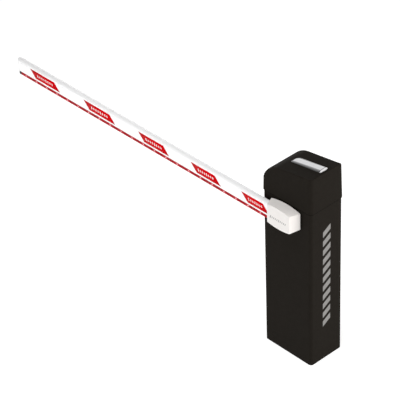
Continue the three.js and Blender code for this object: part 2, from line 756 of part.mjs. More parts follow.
function addSpring() {
  const pinX = axis.x + springArm.reach;
  const dx = pinX - spring.x;
  const dz = axis.z - spring.z;
  const length = Math.hypot(dx, dz);
  const hanger = new THREE.Group();
  hanger.position.set(pinX, springArm.y, axis.z);
  hanger.rotation.y = Math.atan2(dx, dz);
  group.add(hanger);

  // In the hanger's frame the pin is the origin and the spring runs down -Z.
  const cheek = springArm.half + yoke.side;
  const ears = [-1, 1].map((side) => {
    const near = side * cheek;
    const far = side * (cheek + yoke.ear);
    const shape = armShape(0, 0, yoke.eye, 0, -yoke.neck, yoke.neckRadius);
    return prismY(shape, Math.min(near, far), Math.max(near, far), 8);
  });
  const { neckRadius } = yoke;
  const across = cheek + yoke.ear;
  const bridge = block(-neckRadius, neckRadius, -across, across, -yoke.bridgeBottom, -yoke.bridgeTop);
  const rod = rodZ(yoke.rod, -spring.top - yoke.rodIn, -yoke.bridgeBottom + SINK, 0, 0, SIDES.small);
  const pin = rodY(springArm.pin, -cheek - SINK, cheek + SINK, 0, 0, SIDES.small);
  place('spring_yoke', join(bridge, rod, pin, ...ears), 'zincSteel', hanger);

  const coilEnd = -length + spring.bottom;
  const outer = rodZ(spring.radius, coilEnd, -spring.top, 0, 0, SIDES.medium);
  const bore = rodZ(yoke.rod + GAP, coilEnd + spring.bore, -spring.top + OVER, 0, 0, SIDES.small);
  const hookEnd = -length + post.pin + post.clearance;
  const hook = block(-spring.hook, spring.hook, -spring.hook, spring.hook, hookEnd, coilEnd + spring.hookIn);
  place('balance_spring', join(cut(outer, bore), hook), 'zincSteel', hanger);

  const seat = base.thickness + GAP;
  const { x, z } = spring;
  const { y } = springArm;
  const { half, ear, earIn, sheet, foot } = post;
  const shelf = z - post.shelf;
  const stand = join(
    block(x - foot.half, x + foot.half, y + foot.y0, y + foot.y1, seat, seat + foot.height),
    block(x - half, x + half, y + post.y0, y + post.y1, seat, shelf),
    block(x - half, x + half, y - ear, y + post.y1, shelf - sheet, shelf),
    block(x - ear, x + ear, y - ear, y - earIn, shelf - SINK, z + ear),
    block(x - ear, x + ear, y + earIn, y + ear, shelf - SINK, z + ear),
    rodY(post.pin, y - post.pinHalf, y + post.pinHalf, x, z, SIDES.small),
  );
  place('spring_anchor', stand, 'zincSteel');
}

// ---------------------------------------------------------------- electrics

function addElectrics() {
  const wall = -inner.x + GAP;
  const { y, sheet, z0, z1, box, terminals } = controls;
  const bracketSheet = join(
    block(wall, wall + sheet, y - controls.leg, y + sheet, z0, z1),
    block(wall, controls.x1, y, y + sheet, z0, z1),
  );
  place('control_bracket', bracketSheet, 'zincSteel');

  const y0 = y + sheet + GAP;
  const boxBlock = (grow, near, far) =>
    block(box.x0 - grow, box.x1 + grow, near, far, box.z0 - grow, box.z1 + grow);
  const tub = cut(boxBlock(0, y0, box.y1), boxBlock(-box.wall, y0 + box.wall, box.y1 + OVER));
  place('control_box', tub, 'plasticGrey');
  place('control_box_lid', boxBlock(box.lip, box.y1 + GAP, box.y1 + box.lid), 'plasticGrey');
  const strips = block(terminals.x0, terminals.x1, y0, y0 + terminals.depth, terminals.z0, terminals.z1);
  place('terminal_block', strips, 'plasticGrey');

  const seat = base.thickness + GAP;
  const { x0, x1, y0: front, y1: back, height } = transformer;
  const top = seat + height;
  const { sides, ends } = coil;
  const core = join(
    block(x0, x1, front, back, seat, top),
    block(x0 + sides, x1 - sides, front - coil.front, back + coil.back, seat + ends, top - ends),
  );
  place('transformer', core, 'motorGrey');
  const gland = join(
    rodZ(base.glandNut.radius, seat, seat + base.glandNut.height, base.glandX, base.glandY, 6),
    rodZ(base.glandRadius, base.glandFrom, seat + base.glandTop, base.glandX, base.glandY, SIDES.small),
  );
  place('cable_gland', gland, 'rubberBlack');
}

// ---------------------------------------------------------------- service door

function addDoor() {
  const { halfWidth, z0, z1 } = door;
  const outY = cabinet.depth / 2;
  const inY = inner.y;
  const lip = inY - door.flange;
  const panel = block(-halfWidth, halfWidth, lip, outY, z0, z1);
  const { sheet } = door;
  const recess = block(-halfWidth + sheet, halfWidth - sheet, lip - OVER, inY, z0 + sheet, z1 - sheet);
  const keyhole = rodY(lock.radius + GAP, lip - OVER, outY + OVER, lock.x, lock.z, SIDES.medium);
  const { slot } = lock;
  const camSlot = block(
    halfWidth - OVER, halfWidth + OVER,
    lip - OVER, inY - slot.depth,
    lock.z + slot.low, lock.z + slot.high);
  place('service_door', cut(panel, recess, keyhole, camSlot), 'powderBlack');

  const barrel = rodY(lock.radius, inY - lock.barrelIn, outY + SINK, lock.x, lock.z, SIDES.medium);
  const head = rodY(lock.flange, outY + GAP, outY + lock.flangeDepth, lock.x, lock.z, SIDES.medium);
  const { camHalf } = lock;
  const cam = block(
    lock.x - camHalf, lock.x + camHalf,
    inY - lock.camFrom, inY - lock.camTo,
    lock.z - camHalf, lock.z + lock.cam);
  place('lock_barrel', join(barrel, head, cam), 'zincSteel');

  for (const [name, z] of Object.entries(hinge.zs)) {
    const leafY = outY + GAP;
    const low = z - hinge.knuckle;
    const high = z + hinge.knuckle;
    const frameLeaf = block(hinge.x - hinge.frameWidth, hinge.x, leafY, leafY + hinge.leaf, low, z);
    place(`hinge_frame_${name}`, join(
      frameLeaf,
      rodZ(hinge.radius, low, z, hinge.x, hinge.y, SIDES.small),
      rodZ(hinge.pin, z - SINK, high - hinge.pinShort, hinge.x, hinge.y, SIDES.pin),
    ), 'zincSteel');
    const doorLow = z + hinge.play;
    const doorLeaf = block(hinge.x, hinge.x + hinge.doorWidth, leafY, leafY + hinge.leaf, doorLow, high);
    place(`hinge_door_${name}`, cut(
      join(doorLeaf, rodZ(hinge.radius, doorLow, high, hinge.x, hinge.y, SIDES.small)),
      rodZ(hinge.pin + GAP, z - OVER, high + OVER, hinge.x, hinge.y, SIDES.pin),
    ), 'zincSteel');
  }
}

addBase();
addCabinet();
addHood();
addLamp();
addBoom();
addLabels();
addHub();
addFrame();
addStops();
addShaft();
addCrank();
addGearMotor();
addSpring();
addElectrics();
addDoor();

export default group;
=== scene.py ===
"""Looks of the parking barrier gate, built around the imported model.

Metres, +Z up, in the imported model's frame: the origin is the centre of the cabinet's
footprint, the boom lies along -X in front of the -Y face, and the service door is on the
+Y face.
"""

import bmesh
import bpy
import json
import math
from mathutils import Matrix, Vector


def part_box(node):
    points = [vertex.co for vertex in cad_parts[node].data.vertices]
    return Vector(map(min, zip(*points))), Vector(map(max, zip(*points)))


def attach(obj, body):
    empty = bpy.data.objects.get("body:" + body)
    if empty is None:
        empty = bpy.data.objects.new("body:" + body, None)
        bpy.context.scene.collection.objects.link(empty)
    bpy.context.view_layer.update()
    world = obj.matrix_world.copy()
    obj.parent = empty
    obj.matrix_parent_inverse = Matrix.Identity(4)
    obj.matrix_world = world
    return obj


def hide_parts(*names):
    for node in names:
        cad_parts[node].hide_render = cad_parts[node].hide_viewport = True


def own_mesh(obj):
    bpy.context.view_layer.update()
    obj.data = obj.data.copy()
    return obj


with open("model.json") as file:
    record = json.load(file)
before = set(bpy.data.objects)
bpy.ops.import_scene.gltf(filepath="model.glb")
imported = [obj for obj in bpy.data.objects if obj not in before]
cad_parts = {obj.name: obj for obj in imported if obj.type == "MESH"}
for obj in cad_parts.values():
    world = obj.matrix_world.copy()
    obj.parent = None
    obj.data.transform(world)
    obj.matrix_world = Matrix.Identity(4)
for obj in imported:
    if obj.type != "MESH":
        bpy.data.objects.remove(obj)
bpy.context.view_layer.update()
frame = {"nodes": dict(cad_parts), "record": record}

MM = 0.001

# ---------------------------------------------------------------- sizes

AXIS_Z = 806 * MM
HOOD = {
    "corner": 19 * MM,
    "slope": 0.1475,
    "shoulder": 118 * MM,
    "draft": 3.6 * MM,
    "wall": 2.5 * MM,
    "front_edge": 6 * MM,
    "shoulder_edge": 2.2,  # times front_edge, round the left shoulder
    "swell_from": -50 * MM,  # where the front edge starts to grow towards the shoulder
    "swell_run": 70 * MM,
    "back_edge": 22 * MM,
    "right_edge": 3 * MM,
    "flat": 8 * MM,  # half the width of the roof's innermost strip
}
# How the hood's skin is cut into quads. The first cuts follow the left shoulder's arc.
HOOD_MESH = {
    "corner_steps": 10,
    "wall_rings": 3,
    "top_rings": 26,
    "shoulder_cuts": 14,
    "shoulder_run": 0.082,
    "shoulder_power": 1.15,
    "roof_from": -0.053,
    "roof_cuts": 9,
    "side_cuts": 9,
    "edge_share": 0.35,
    "inward_power": 1.4,
    "corner_loss": 0.9,
}
# The seal below the hood's rim, made near black so it paints the shade line under the rim.
SEAL = {"inside": 0.1 * MM, "outside": 1.7 * MM, "lip": 0.4 * MM}
CABINET = {
    "corner": 15 * MM,
    "wall": 2.5 * MM,
    "door_gap": 1.5 * MM,
    "shaft_hole": 22 * MM,
}
COVER = {
    "back_left": -88 * MM,
    "back_right": 92 * MM,
    "front_left": -61.5 * MM,
    "front_right": 77 * MM,
    "middle": 5 * MM,
    "half_height": 55.3 * MM,
    "barrel": 312 * MM,
    "wall": 3 * MM,
    "edge": 2.2 * MM,
    "mouth_above": 1.4 * MM,
    "mouth_below": 1.2 * MM,
    "mouth_front": 1.2 * MM,
}
BOOM = {
    "corner": 8 * MM,
    "wall": 2 * MM,
    "shoulder": 834 * MM,
    "grooves": (791.5 * MM, 832.4 * MM),
    "groove_half": 1.1 * MM,
    "groove_depth": 0.7 * MM,
    "cap_edge": 5 * MM,
}
STRIP = {
    "corner": 4 * MM,
    "bevel": 0.6 * MM,
    "pitch": 78.3 * MM,
    "points": 22,
    "first": -1763 * MM,
    "last_gap": 20 * MM,
    "dot": 3.2 * MM,
    "dot_stretch": 1.35,
    "to_cover": 2 * MM,
}
LENS = {
    "u0": -48 * MM,
    "u1": 137 * MM,
    "half_width": 25.5 * MM,
    "middle": -1.5 * MM,
    "height": 10 * MM,
    "corners": (8 * MM, 9 * MM, 9 * MM, 25 * MM),
    "least_corner": 1.2 * MM,
    "left_share": 0.3,
    "lift": 0.8 * MM,
    "end_steepness": 0.4,
    # The next two keys say where the painted light on the lens' right end fades in, measured in
    # from that end. The third says where the painted shade stripe crosses the top.
    "end_light_from": 10 * MM,
    "end_light_to": 7 * MM,
    "shade_stripe_at": 9 * MM,
}
# The lens' section: how far in, in mm, and how high, as a share of the lens' height.
LENS_PROFILE = [(0, 0), (0, 0.1), (1.2, 0.26), (3, 0.42), (5.2, 0.6), (7.6, 0.77), (9.6, 0.89),
                (11, 0.955), (12.2, 0.99), (13.6, 1), (16, 1), (19, 1)]

# The generic bars that stand where the real object has lettering. Of a row's bars, number 0
# and each "every"th one after it is tall.
PRINT_THICKNESS = 0.12 * MM
PRINT_GAP = 0.05 * MM
BAR_CORNERS = ((-1, -1), (1, -1), (1, 1), (-1, 1))
LABEL = {"slant": 39 * MM, "bars": 8, "run": 0.68, "bar": 0.2, "lean": 0.4,
         "short": 5.0 * MM, "tall": 6.6 * MM, "every": 4}
SIDE_MARK = {"bars": 11, "low": 0.195, "high": 0.755, "half_width": 24 * MM, "bar": 0.3,
             "rise": 14 * MM}
COVER_MARK = {"bars": 10, "x": 6 * MM, "drop": 8 * MM, "pitch": 10.2 * MM, "bar": 2.2 * MM,
              "lean": 0.3, "short": 5.4 * MM, "tall": 7.8 * MM, "every": 5, "sunk": 0.09 * MM}

SPRING = {
    "pin": Vector((70 * MM, 20 * MM, AXIS_Z)),
    "anchor": Vector((35 * MM, 20 * MM, 200 * MM)),
    "top": 125 * MM,
    "bottom": 16 * MM,
    "hook_room": 14 * MM,
    "hook": 10.6 * MM,
    "hook_from": 0.75,  # in half turns
    "hook_sweep": 1.55,
    "coil": 14.2 * MM,
    "wire": 3.4 * MM,
    "turns": 46,
    "open_length": 537.1 * MM,
}
USUAL_BEVEL = 0.6 * MM
BEVELS = {
    "service_door": 1.2 * MM,
    "mechanism_plate": 0.8 * MM,
    "gearbox": 2 * MM,
    "control_box_lid": 3 * MM,
    "control_box": 2 * MM,
    "lock_barrel": 0.4 * MM,
    "transformer": 1 * MM,
}

# ---------------------------------------------------------------- lights and camera

FLOOR = {"half": 30, "below": 0.4 * MM, "albedo": 0.6, "glow": 0.72}
SKY = {"horizon": 3.5, "power": 4.0, "least": 0.06}
LIGHTS = {
    "above": {"place": (-0.4, -1.1, 4.2), "aim": (-0.4, -0.1, 0.8), "size": 2.6, "power": 99,
              "colour": (1, 1, 1)},
    "right": {"place": (3.5, 1.5, 1.4), "aim": (0, 0, 0.5), "size": 2, "power": 84,
              "colour": (1.0, 0.965, 0.94)},
}
CAMERA = {
    "azimuth": 47.91,
    "elevation": 35.85,
    "roll": -2.24,
    "distance": 9.832,
    "focal": 193.63,
    "sensor": 36,
    "side": -0.4703,
    "rise": 0.2764,
    "base": Vector((0, 0, 0.4815)),
}


# ---------------------------------------------------------------- meshes


def make(name, vertices, faces, body, material, replaces=(), sharp=32):
    """A closed mesh piece, with smooth shading up to the sharp angle, that rides on a body."""
    mesh = bpy.data.meshes.new(name)
    mesh.from_pydata([tuple(v) for v in vertices], [], faces)
    edit = bmesh.new()
    edit.from_mesh(mesh)
    bmesh.ops.remove_doubles(edit, verts=edit.verts, dist=1e-6)
    bmesh.ops.recalc_face_normals(edit, faces=edit.faces)
    edit.to_mesh(mesh)
    edit.free()
    mesh.shade_smooth()
    mesh.set_sharp_from_angle(angle=math.radians(sharp))
    mesh.materials.append(material)
    obj = bpy.data.objects.new(name, mesh)
    bpy.context.scene.collection.objects.link(obj)
    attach(obj, body)
    if replaces:
        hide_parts(*replaces)
    return obj


def outline(half_x, half_y, radii, cuts, segments):
    """Points round a rounded rectangle, anticlockwise from the front left corner.

    radii are the corners' radii and cuts the fractions along each side, both in the order
    front left or front, front right or right, back right or back, back left or left.
    """
    signs = [(-1, -1), (1, -1), (1, 1), (-1, 1)]
    corners = []
    for i, (sx, sy) in enumerate(signs):
        centre = Vector((sx * (half_x - radii[i]), sy * (half_y - radii[i])))
        start = math.pi + i * math.pi / 2
        angles = [start + math.pi / 2 * k / segments for k in range(segments + 1)]
        corners.append([centre + radii[i] * Vector((math.cos(a), math.sin(a))) for a in angles])
    points = []
    for i, corner in enumerate(corners):
        points += corner
        start, end = corner[-1], corners[(i + 1) % 4][0]
        points += [start.lerp(end, t) for t in cuts[i]]
    return points


def ring_faces(rings, count):
    """Quads between rings of count points that follow each other."""
    quads = []
    for k in range(rings - 1):
        for j in range(count):
            a, b = k * count + j, k * count + (j + 1) % count
            quads.append((a, b, b + count, a + count))
    return quads


def closed_faces(rings, count):
    """Quads between rings of points, and a face over the first and the last ring."""
    last = (rings - 1) * count
    ends = [tuple(range(count)), tuple(reversed(range(last, last + count)))]
    return [*ring_faces(rings, count), *ends]


def thicken(outer, inner, faces):
    """The wall between two skins with the same faces, closed along the skins' open edges."""
    shift = len(outer)
    sides = dict.fromkeys((a, b) for face in faces for a, b in zip(face, face[1:] + face[:1]))
    rims = [(b, a, a + shift, b + shift) for a, b in sides if (b, a) not in sides]
    back = [tuple(v + shift for v in reversed(face)) for face in faces]
    return list(outer) + list(inner), [*faces, *back, *rims]


def evenly(count):
    """The fractions that cut a side into count + 1 equal lengths."""
    return [(k + 1) / (count + 1) for k in range(count)]


def add_bevel(obj, width, segments=3, angle=35):
    """Rounds the edges that are sharper than the angle."""
    bevel = obj.modifiers.new("edge", "BEVEL")
    bevel.width = width
    bevel.segments = segments
    bevel.limit_method = "ANGLE"
    bevel.angle_limit = math.radians(angle)
    bevel.harden_normals = True


# ---------------------------------------------------------------- materials


NOISE_RANGE = (0.3, 0.7)


class Nodes:
    """A material built round one Principled shader, textured in the model's own metres."""

    def __init__(self, name, colour, roughness, metallic=0.0, specular=0.5):
        self.material = bpy.data.materials.new(name)
        self.material.use_nodes = True
        self.tree = self.material.node_tree
        self.shader = self.tree.nodes["Principled BSDF"]
        self.shader.inputs["Base Color"].default_value = (*colour, 1)
        self.shader.inputs["Roughness"].default_value = roughness
        self.shader.inputs["Metallic"].default_value = metallic
        self.shader.inputs["Specular IOR Level"].default_value = specular
        self.coordinates = self.tree.nodes.new("ShaderNodeTexCoord").outputs["Object"]
        self.normal = None

    def add(self, kind, **values):
        node = self.tree.nodes.new(kind)
        for key, value in values.items():
            setattr(node, key, value)
        return node

    def link(self, source, target):
        self.tree.links.new(source, target)

    def stretched(self, scale):
        """The model's coordinates times a scale for each axis."""
        mapping = self.add("ShaderNodeMapping")
        mapping.inputs["Scale"].default_value = scale
        self.link(self.coordinates, mapping.inputs["Vector"])
        return mapping.outputs["Vector"]

    def noise(self, scale, detail=4.0, stretch=None):
        node = self.add("ShaderNodeTexNoise")
        node.inputs["Scale"].default_value = scale
        node.inputs["Detail"].default_value = detail
        node.inputs["Roughness"].default_value = 0.5
        source = self.stretched(stretch) if stretch else self.coordinates
        self.link(source, node.inputs["Vector"])
        return node.outputs["Fac"]

    def blotches(self, scale, detail=5.0, stretch=None):
        """Noise with its middle range spread from 0 to 1."""
        return self.span(self.noise(scale, detail, stretch), *NOISE_RANGE, 0, 1)

    def cells(self, scale, feature="F1"):
        """Distances from the middles of small cells, or from their edges."""
        node = self.add("ShaderNodeTexVoronoi", feature=feature)
        node.inputs["Scale"].default_value = scale
        self.link(self.coordinates, node.inputs["Vector"])
        return node.outputs["Distance"]

    def span(self, value, low, high, to_low, to_high):
        """A value that goes from to_low to to_high as the given one goes from low to high."""
        node = self.add("ShaderNodeMapRange")
        keys = ("From Min", "From Max", "To Min", "To Max")
        for key, number in zip(keys, (low, high, to_low, to_high)):
            node.inputs[key].default_value = number
        self.link(value, node.inputs["Value"])
        return node.outputs["Result"]

    def math(self, operation, first, second=None):
        node = self.add("ShaderNodeMath", operation=operation)
        for socket, value in zip(node.inputs, (first, second)):
            if isinstance(value, (int, float)):
                socket.default_value = value
            elif value is not None:
                self.link(value, socket)
        return node.outputs[0]

    def along(self, axis):
        """One of the model's coordinates, X, Y or Z."""
        node = self.add("ShaderNodeSeparateXYZ")
        self.link(self.coordinates, node.inputs[0])
        return node.outputs[axis]

    def colour(self, factor, first, second):
        """The base colour, mixed from first to second, either of which may be a socket."""
        node = self.add("ShaderNodeMix", data_type="RGBA")
        self.link(factor, node.inputs[0])
        for socket, value in ((node.inputs[6], first), (node.inputs[7], second)):
            if isinstance(value, tuple):
                socket.default_value = (*value, 1)
            else:
                self.link(value, socket)
        self.link(node.outputs[2], self.shader.inputs["Base Color"])
        return node.outputs[2]

    def rough(self, noise, low, high):
        """A roughness that varies from low to high with a noise."""
        self.link(self.span(noise, *NOISE_RANGE, low, high), self.shader.inputs["Roughness"])

    def coat(self, weight):
        self.shader.inputs["Coat Weight"].default_value = weight

    def bump(self, height, distance, strength=1.0):
        """A bump of a height in metres, added over the bumps before it."""
        node = self.add("ShaderNodeBump")
        node.inputs["Strength"].default_value = strength
        node.inputs["Distance"].default_value = distance
        self.link(height, node.inputs["Height"])
        if self.normal:
            self.link(self.normal, node.inputs["Normal"])
        self.normal = node.outputs["Normal"]
        self.link(self.normal, self.shader.inputs["Normal"])


def powder_black():
    """Fine-textured near-black powder coat."""
    m = Nodes("powder_black", (0.0125, 0.0106, 0.0086), 0.52, specular=0.01)
    m.colour(m.blotches(55), (0.0118, 0.0100, 0.0081), (0.0133, 0.0113, 0.0092))
    m.rough(m.noise(70, detail=5), 0.49, 0.55)
    m.bump(m.noise(1400, detail=2), 0.12 * MM, 0.5)
    m.bump(m.cells(620), 0.08 * MM, 0.35)
    return m.material


def boom_white():
    """White powder coat over an aluminium extrusion, with faint drawing lines along it."""
    m = Nodes("boom_white", (0.85, 0.85, 0.85), 0.36, specular=0.5)
    tint = m.blotches(7, stretch=(0.2, 1, 1))
    m.colour(tint, (0.835, 0.835, 0.838), (0.865, 0.865, 0.866))
    m.rough(m.noise(60, stretch=(0.1, 1, 1)), 0.15, 0.21)
    m.bump(m.noise(500, detail=2, stretch=(0.01, 1, 1)), 0.03 * MM, 0.5)
    m.bump(m.noise(420, detail=2), 0.04 * MM, 0.4)
    return m.material


def cover_white():
    """Warm white moulded plastic with a fine spark-eroded grain."""
    m = Nodes("cover_white", (0.69, 0.664, 0.642), 0.42, specular=0.35)
    m.colour(m.blotches(30), (0.680, 0.654, 0.632), (0.700, 0.674, 0.652))
    m.rough(m.noise(90), 0.38, 0.47)
    m.bump(m.noise(1700, detail=1), 0.04 * MM, 0.4)
    return m.material


def lens_grey():
    """Frosted lens, pale on top; painted light on its right end, painted shade down its sides.

    The sides' painted shade includes a painted reflection of the black hood. A thin dark stripe of
    painted shade crosses the top near the right end, for the shade of a fine groove.
    """
    m = Nodes("lens_grey", (0.6, 0.6, 0.62), 0.34, specular=0.3)
    share, crown_from = lens_height(m), 0.93
    # Painted shade: the lens darkens down its sides towards the hood, for the shade at their foot
    # and a reflection of the black hood.
    rise = m.math("POWER", m.span(share, 0.05, crown_from, 0, 1), 2)
    wall = m.math("MULTIPLY", rise, 0.5)
    crown = m.math("MULTIPLY", m.span(share, crown_from, 0.985, 0, 1), 0.5)
    u1 = LENS["u1"]
    # Painted light: the last few mm of the right end are made pale.
    end = m.span(m.along("X"), u1 - LENS["end_light_from"], u1 - LENS["end_light_to"], 0, 0.9)
    mottle = m.span(m.noise(160, detail=3), *NOISE_RANGE, -0.02, 0.02)
    pale = m.math("MAXIMUM", m.math("ADD", m.math("ADD", wall, crown), mottle), end)
    # Painted shade: a thin dark stripe across the top near the right end, the shade of a fine
    # groove.
    off_line = m.math("ABSOLUTE", m.math("SUBTRACT", m.along("X"), u1 - LENS["shade_stripe_at"]))
    line = m.span(off_line, 1.2 * MM, 2.6 * MM, 0.2, 1)
    # The dark colour is the painted shade; the pale one is the lens' own frosted colour.
    m.colour(m.math("MULTIPLY", pale, line), (0.010, 0.0095, 0.009), (0.62, 0.62, 0.63))
    m.rough(m.noise(120), 0.26, 0.38)
    m.bump(m.noise(520, stretch=(0.05, 1, 1)), 0.06 * MM, 0.4)
    return m.material


def label_red():
    """Red retroreflective film with its fine cell pattern."""
    m = Nodes("label_red", (0.51, 0.002, 0.005), 0.46, specular=0.04)
    cell = m.span(m.cells(330, feature="DISTANCE_TO_EDGE"), 0.0, 0.09, 0, 1)
    m.colour(cell, (0.50, 0.0007, 0.0025), (0.56, 0.0012, 0.0040))
    m.rough(m.noise(80), 0.42, 0.5)
    m.bump(cell, 0.03 * MM, 0.4)
    return m.material


def strip_red():
    """Translucent red elastomer, lighter over each lamp behind it."""
    m = Nodes("strip_red", (0.30, 0.006, 0.009), 0.46, specular=0.05)
    steps = m.math("DIVIDE", m.math("SUBTRACT", m.along("X"), STRIP["first"]), STRIP["pitch"])
    # Half a step more puts a lamp at 0.5, and 40 whole steps keep the value above 0.
    within = m.math("FRACT", m.math("ADD", steps, 40.5))
    away = m.math("ABSOLUTE", m.math("SUBTRACT", within, 0.5))
    glow = m.math("POWER", m.span(away, 0.0, 0.5, 1, 0), 7)
    mottle = m.blotches(70, detail=4, stretch=(0.4, 1, 1))
    deep = m.colour(mottle, (0.29, 0.005, 0.008), (0.39, 0.008, 0.013))
    m.colour(glow, deep, (0.62, 0.085, 0.10))
    m.rough(m.noise(50), 0.4, 0.52)
    m.bump(m.noise(380, stretch=(0.05, 1, 1)), 0.06 * MM, 0.5)
    return m.material


def lamp_pink():
    """The small domed lamps along the strip."""
    m = Nodes("lamp_pink", (0.80, 0.36, 0.38), 0.2)
    m.colour(m.blotches(300, detail=2), (0.76, 0.32, 0.34), (0.84, 0.42, 0.44))
    m.bump(m.noise(900), 0.03 * MM, 0.4)
    m.coat(0.5)
    return m.material


def rubber_black():
    """Moulded black rubber, slightly dusty."""
    m = Nodes("rubber_black", (0.016, 0.016, 0.016), 0.7, specular=0.3)
    m.colour(m.blotches(60), (0.012, 0.012, 0.012), (0.024, 0.024, 0.023))
    m.rough(m.noise(200), 0.6, 0.78)
    m.bump(m.noise(900, detail=3), 0.12 * MM, 0.6)
    return m.material


def seal_painted_shade():
    """Soft black foam rubber, made near black as painted shade under the hood's rim."""
    m = Nodes("seal_painted_shade", (0.0016, 0.0015, 0.0014), 0.9, specular=0.0)
    m.colour(m.blotches(90), (0.0012, 0.0011, 0.001), (0.0022, 0.0021, 0.002))
    m.rough(m.noise(200), 0.85, 0.95)
    m.bump(m.cells(900), 0.1 * MM, 0.5)
    return m.material


def zinc_steel():
    """Zinc plate over rolled steel: faint rolling lines and a slight yellow-blue cast."""
    m = Nodes("zinc_steel", (0.58, 0.60, 0.62), 0.36, metallic=1.0)
    m.colour(m.blotches(28), (0.60, 0.60, 0.57), (0.52, 0.56, 0.61))
    m.rough(m.noise(70, detail=6), 0.28, 0.46)
    m.bump(m.noise(900, detail=2, stretch=(1, 1, 0.03)), 0.04 * MM, 0.5)
    m.bump(m.cells(160), 0.02 * MM, 0.3)
    return m.material


def spring_steel():
    """Oil-tempered spring wire."""
    m = Nodes("spring_steel", (0.20, 0.20, 0.21), 0.34, metallic=1.0)
    m.colour(m.blotches(90), (0.16, 0.16, 0.17), (0.27, 0.27, 0.28))
    m.rough(m.noise(300), 0.28, 0.42)
    m.bump(m.noise(1500), 0.03 * MM, 0.5)
    return m.material


def cast_grey():
    """Sand-cast aluminium with a grainy skin."""
    m = Nodes("cast_grey", (0.34, 0.35, 0.36), 0.5, metallic=0.85)
    m.colour(m.blotches(45, detail=6), (0.29, 0.30, 0.31), (0.39, 0.40, 0.41))
    m.rough(m.noise(120), 0.46, 0.66)
    m.bump(m.noise(620), 0.25 * MM, 0.7)
    return m.material


def motor_grey():
    """Dark enamel, thick and slightly uneven."""
    m = Nodes("motor_grey", (0.05, 0.056, 0.062), 0.38)
    m.colour(m.blotches(35), (0.042, 0.047, 0.053), (0.062, 0.069, 0.076))
    m.rough(m.noise(80), 0.3, 0.46)
    m.bump(m.noise(320, detail=2), 0.1 * MM, 0.5)
    m.coat(0.25)
    return m.material


def plastic_grey():
    """Light grey moulded plastic with a fine grain."""
    m = Nodes("plastic_grey", (0.46, 0.47, 0.47), 0.45)
    m.colour(m.blotches(25), (0.43, 0.44, 0.44), (0.49, 0.50, 0.50))
    m.rough(m.noise(90), 0.4, 0.54)
    m.bump(m.noise(1200, detail=2), 0.06 * MM, 0.5)
    return m.material


def mark_grey():
    """Screen-printed grey over the powder coat, which it follows."""
    m = Nodes("mark_grey", (0.17, 0.165, 0.158), 0.5)
    m.colour(m.blotches(60, detail=6), (0.155, 0.15, 0.145), (0.185, 0.18, 0.172))
    m.rough(m.noise(70), 0.44, 0.56)
    m.bump(m.noise(1400, detail=2), 0.12 * MM, 0.4)
    return m.material


def mark_pale():
    """Pale grey print on the white cover."""
    m = Nodes("mark_pale", (0.25, 0.245, 0.24), 0.45)
    m.colour(m.blotches(80, detail=4), (0.23, 0.225, 0.22), (0.27, 0.265, 0.26))
    m.rough(m.noise(80), 0.4, 0.5)
    m.bump(m.noise(900, detail=2), 0.03 * MM, 0.4)
    return m.material


def mark_white():
    """White print on the red labels."""
    m = Nodes("mark_white", (0.80, 0.78, 0.78), 0.4)
    m.colour(m.blotches(80, detail=4), (0.76, 0.73, 0.73), (0.84, 0.82, 0.82))
    m.rough(m.noise(80), 0.34, 0.46)
    m.bump(m.noise(900, detail=2), 0.03 * MM, 0.4)
    return m.material


def circuit_green():
    """Solder mask over copper tracks that run along and across the board."""
    m = Nodes("circuit_green", (0.02, 0.12, 0.055), 0.34)
    tracks = m.add("ShaderNodeTexBrick")
    tracks.inputs["Scale"].default_value = 90
    tracks.inputs["Mortar Size"].default_value = 0.06
    m.link(m.coordinates, tracks.inputs["Vector"])
    m.colour(tracks.outputs["Fac"], (0.018, 0.11, 0.05), (0.05, 0.22, 0.09))
    m.rough(m.noise(120), 0.28, 0.4)
    m.bump(tracks.outputs["Fac"], 0.06 * MM, 0.5)
    return m.material


def lens_height(m):
    """How far up the lens a point is: 0 at the hood, 1 on its top, which rises to the right."""
    tilt = math.atan(HOOD["slope"])
    up = m.math("MULTIPLY", m.math("SUBTRACT", m.along("Z"), slope_origin), math.cos(tilt))
    height = m.math("SUBTRACT", up, m.math("MULTIPLY", m.along("X"), math.sin(tilt)))
    lowest = LENS["lift"] + LENS["left_share"] * LENS["height"]
    highest = LENS["lift"] + LENS["height"]
    top = m.span(m.along("X"), LENS["u0"], LENS["u1"], lowest, highest)
    return m.math("DIVIDE", height, top)


# ---------------------------------------------------------------- hood and lamp

hood_low, hood_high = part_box("hood")
hood_half = Vector((hood_high.x, hood_high.y))
slope_origin = hood_high.z - HOOD["slope"] * hood_half.x


def hood_top(x, inset):
    """The height of the hood's top at x, with its left shoulder, inset from the outside."""
    lean = math.hypot(1, HOOD["slope"])
    radius = HOOD["shoulder"] - inset
    centre_x = -hood_half.x + HOOD["shoulder"]
    centre_z = slope_origin + HOOD["slope"] * centre_x - HOOD["shoulder"] * lean
    tangent = centre_x - radius * HOOD["slope"] / lean
    if x > tangent:
        return slope_origin + HOOD["slope"] * x - inset * lean
    return centre_z + math.sqrt(max(radius**2 - (x - centre_x) ** 2, 0))


def smooth(t):
    """A soft step from 0 to 1."""
    t = min(max(t, 0), 1)
    return t * t * (3 - 2 * t)


def hood_cuts():
    """Where the hood's front and back are cut: places along X and shares of each side."""
    mesh = HOOD_MESH
    reach = hood_half.x - HOOD["corner"]
    shoulder = [k / mesh["shoulder_cuts"] for k in range(1, mesh["shoulder_cuts"])]
    xs = [-reach + mesh["shoulder_run"] * t ** mesh["shoulder_power"] for t in shoulder]
    roof = mesh["roof_from"]
    xs += [roof + (reach - roof) * k / mesh["roof_cuts"] for k in range(mesh["roof_cuts"])]
    front = [(x + reach) / (2 * reach) for x in xs]
    side = evenly(mesh["side_cuts"])
    return xs, [front, side, [1 - t for t in reversed(front)], side]


